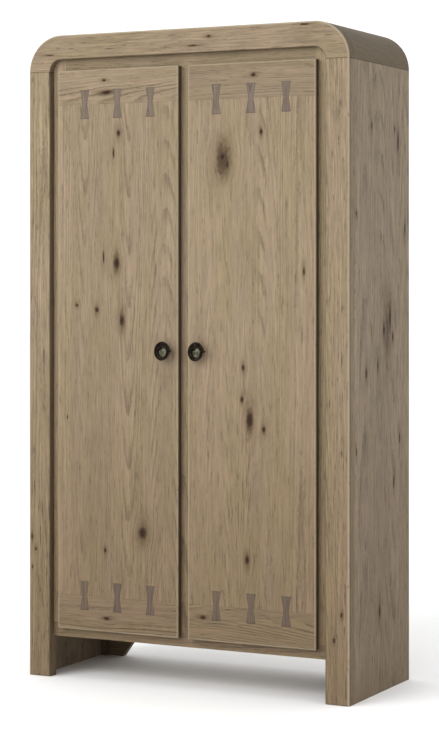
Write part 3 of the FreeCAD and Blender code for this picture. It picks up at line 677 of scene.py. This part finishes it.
def scroll_grids(centre, bar):
    """A hammered bar carried along a scroll, and its pointed nib.

    The scroll starts at the right and turns over the top for two and a half turns, drawn out
    upwards a little. Its radius stays whole for half a turn, steps in by about a bar's width over
    the next half, closes slowly over the second turn and curls in at its end. The bar is a circle
    whose radius has small hammered facets and closes at both ends. The nib is a hollow-sided
    taper that stands out to the right."""
    turn = np.linspace(0, SCROLL_HALF_TURNS * np.pi, 420)
    half_turns = turn / np.pi
    reach = (SCROLL_RADIUS - SCROLL_STEP * ease(half_turns - 1.0)
             - SCROLL_CLOSE * np.clip((half_turns - 2.0) / 2.0, 0, 1)
             - SCROLL_CURL * ease((half_turns - 4.0) / (SCROLL_HALF_TURNS - 4.0)))
    line = np.stack([reach * np.cos(turn), reach * np.sin(turn) * SCROLL_STRETCH], axis=1)
    tangent = np.gradient(line, axis=0)
    tangent /= np.linalg.norm(tangent, axis=1)[:, None]
    normal = np.stack([-tangent[:, 1], tangent[:, 0]], axis=1)
    along = np.linspace(0, 1, len(line))
    around = np.linspace(0, 2 * np.pi, 25)
    ends = np.clip(np.minimum(along / SCROLL_HEAD, (1 - along) / SCROLL_TAIL), 0, 1)
    thick = bar * np.sqrt(1 - (1 - ends) ** 2)
    facets = 1 - SCROLL_FACET * (0.5 + 0.5 * np.sin(along[:, None] * 230 + 2 * np.sin(around[None, :] * 2)))
    aside = thick[:, None] * facets * np.cos(around)[None, :]
    out = thick[:, None] * facets * np.sin(around)[None, :]
    points = np.zeros((len(line), len(around), 3))
    points[..., 0] = centre.x + line[:, 0:1] + aside * normal[:, 0:1]
    points[..., 1] = centre.y + out
    points[..., 2] = centre.z + line[:, 1:2] + aside * normal[:, 1:2]
    share = np.linspace(0, 1, 24)
    taper = bar * NIB_THICK * np.sqrt(1 - share) * (1 - NIB_HOLLOW * np.sin(share * np.pi))
    taper[0] = 0
    nib = np.zeros((len(share), len(around), 3))
    nib[..., 0] = centre.x + SCROLL_RADIUS + (bar + NIB_REACH) * share[:, None]
    nib[..., 1] = centre.y + np.minimum(taper, bar * NIB_FRONT)[:, None] * np.cos(around)[None, :]
    nib[..., 2] = centre.z + NIB_RISE + taper[:, None] * np.sin(around)[None, :]
    return [points, nib]


DISH_DENT = 0.00018


def dish_grids(low, high):
    """A hammered dish: a flat-backed disc turned about the front-to-back axis, with a low rim, a
    hollow and a boss in its middle, and shallow dents all over its face. Its profile, from the
    middle of the face to the middle of the back, is given as shares of its radius and thickness."""
    centre = (low + high) / 2
    rim = (high.x - low.x) / 2
    thick = high.y - low.y
    share = np.array([0, 0.1, 0.2, 0.3, 0.42, 0.55, 0.7, 0.82, 0.9, 0.96, 0.99, 1.0, 1.0, 0.98, 0.6, 0.0])
    front = np.array([1.0, 0.97, 0.85, 0.68, 0.62, 0.6, 0.6, 0.61, 0.64, 0.62, 0.5, 0.35, 0.15, 0, 0, 0])
    fine = np.linspace(0, len(share) - 1, 90)
    share = np.interp(fine, np.arange(len(share)), share)
    front = np.interp(fine, np.arange(len(front)), front)
    around = np.linspace(0, 2 * np.pi, 73)
    radius = rim * share[:, None] * np.ones((1, len(around)))
    dents = DISH_DENT * np.sin(radius * 900 + 2 * np.sin(around * 5)) * np.sin(around * 9 + radius * 500)
    points = np.zeros((len(share), len(around), 3))
    points[..., 0] = centre.x + radius * np.cos(around)
    dented = (front[:, None] > 0.3) * (share[:, None] > 0.05)
    points[..., 1] = high.y - thick * front[:, None] - dents * dented
    points[..., 2] = centre.z + radius * np.sin(around)
    return [points]


# A key: half its width at the ends and at the waist, half its height, how deep it is let in, the
# width and the depth of its eased edge, how much smaller it is than its place, and its crown.
KEY_HALF_END = 0.0149
KEY_HALF_WAIST = 0.0079
KEY_HALF_HEIGHT = 0.0434
KEY_DEPTH = 0.0058
KEY_EASE = 0.0010
KEY_FALL = 0.0005
KEY_SLACK = 0.0001
KEY_CROWN = 0.00025


def key_grids(centre_x, joint, front):
    """A butterfly key: across each level its half width falls from the end's to the waist's in a
    straight line towards the joint; the face is a touch crowned and its edges are eased."""
    up = np.linspace(-1, 1, 41)
    side = np.linspace(-1, 1, 25)
    ease_up = np.clip((1 - np.abs(up)) * KEY_HALF_HEIGHT / KEY_EASE, 0, 1)
    ease_side = np.clip((1 - np.abs(side)) * KEY_HALF_END / KEY_EASE, 0, 1)
    half = KEY_HALF_WAIST + (KEY_HALF_END - KEY_HALF_WAIST) * np.abs(up)
    crown = KEY_CROWN * (1 - side[None, :] ** 2) * (1 - up[:, None] ** 4)
    fall = KEY_FALL * (1 - np.sqrt(np.minimum(ease_up[:, None], ease_side[None, :])))
    face = np.zeros((len(up), len(side), 3))
    face[..., 0] = centre_x + half[:, None] * side[None, :]
    face[..., 1] = front + KEY_SLACK - crown + fall
    face[..., 2] = joint + KEY_HALF_HEIGHT * up[:, None] * np.ones((1, len(side)))
    back = face.copy()
    back[..., 1] = front + KEY_DEPTH
    return [face, back, np.stack([face[0], back[0]]), np.stack([face[-1], back[-1]]),
            np.stack([face[:, 0], back[:, 0]]), np.stack([face[:, -1], back[:, -1]])]


def make_knobs(iron, dish):
    """Both knobs' scrolls and dishes."""
    for side in ("left", "right"):
        low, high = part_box(f"knob_scroll_{side}")
        dish_low, dish_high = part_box(f"knob_dish_{side}")
        middle = (dish_low + dish_high) / 2
        centre = Vector((middle.x, (low.y + high.y) / 2, middle.z))
        piece(f"scroll_bar_{side}", scroll_grids(centre, (high.y - low.y) / 2), f"{side}_door", iron,
              f"knob_scroll_{side}")
        piece(f"scroll_dish_{side}", dish_grids(dish_low, dish_high), f"{side}_door", dish,
              f"knob_dish_{side}")


def make_keys():
    """The twelve butterfly keys, three to a joint."""
    for side in ("left", "right"):
        for end in ("top", "bottom"):
            node = f"door_{end}_keys_{side}"
            low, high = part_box(node)
            middle = (low.x + high.x) / 2
            spread = (high.x - low.x) / 2 - KEY_HALF_END - KEY_SLACK
            joint = (low.z + high.z) / 2
            grids = []
            for step in (-1, 0, 1):
                grids += key_grids(middle + step * spread, joint, FRONT)
            material = wood(f"key_wood_{end}_{side}", node_box(node), "z", "x", plank=spread,
                            shift=0.3 + len(end) * 0.21, palette=KEY_WOOD, ring=0.003, worn=False)
            piece(f"butterfly_keys_{end}_{side}", grids, f"{side}_door", material, node)


# ---- floor, light and camera ----

FLOOR_HALF = 30


def make_stage():
    """A plain pale floor, wide enough to fill the view."""
    mesh = bpy.data.meshes.new("floor")
    corners = [(-FLOOR_HALF, -FLOOR_HALF, 0), (FLOOR_HALF, -FLOOR_HALF, 0),
               (FLOOR_HALF, FLOOR_HALF, 0), (-FLOOR_HALF, FLOOR_HALF, 0)]
    mesh.from_pydata(corners, [], [(0, 1, 2, 3)])
    floor = bpy.data.objects.new("floor", mesh)
    bpy.context.scene.collection.objects.link(floor)
    shader = Shader("pale_floor")
    cloud = shader.noise(shader.place, 1.5, 2.0)
    colour = shader.blend(cloud, (0.90, 0.90, 0.90, 1.0), (0.92, 0.92, 0.92, 1.0))
    mesh.materials.append(shader.finish(colour, 0.8 + cloud * 0.1, cloud, 0.0001))


def add_light(name, spot, target, size, power):
    """A soft square light that faces a target."""
    data = bpy.data.lights.new(name, "AREA")
    data.size = size
    data.energy = power
    light = bpy.data.objects.new(name, data)
    light.location = spot
    light.rotation_euler = (Vector(target) - Vector(spot)).to_track_quat("-Z", "Y").to_euler()
    bpy.context.scene.collection.objects.link(light)


def make_light():
    """A white room that lights evenly, and one broad soft light above, in front and on the left."""
    world = bpy.data.worlds.new("studio")
    world.use_nodes = True
    background = world.node_tree.nodes["Background"]
    background.inputs["Color"].default_value = (1.0, 1.0, 1.0, 1.0)
    background.inputs["Strength"].default_value = 1.15
    bpy.context.scene.world = world
    add_light("key", spot=(-2.6, -6.2, 4.4), target=(0, 0, 1.2), size=4.6, power=346.0)


def make_camera():
    """A level camera to the right of the front, a little above the middle, shifted down to frame
    the whole case."""
    data = bpy.data.cameras.new("camera")
    data.sensor_width = 36
    data.lens = 102.03
    data.shift_y = -0.1402
    camera = bpy.data.objects.new("camera", data)
    camera.location = (2.941, FRONT - 5.5501, 1.2419)
    camera.rotation_euler = (math.radians(90), 0, math.radians(26.934))
    bpy.context.scene.collection.objects.link(camera)
    bpy.context.scene.camera = camera
    bpy.context.scene.view_settings.view_transform = "Standard"


make_camera()
make_stage()
make_light()
IRON = metal("blackened_iron", tint(38, 32, 27), tint(62, 55, 46), 0.48)
DISH = metal("worn_dish_metal", tint(132, 130, 108), tint(96, 92, 76), 0.5)
PLATED = metal("plated_steel", tint(196, 194, 188), tint(170, 168, 160), 0.32, depth=0.00005)
SCREW = metal("screw_steel", tint(150, 144, 134), tint(104, 96, 86), 0.42, depth=0.00005)
PLASTIC = metal("brown_plastic", tint(70, 54, 42), tint(82, 66, 52), 0.5, depth=0.00005, metallic=0.0)
dress_doors()
dress_case()
dress_inside()
dress_hardware(IRON, PLATED, SCREW, PLASTIC)
make_knobs(IRON, DISH)
make_keys()
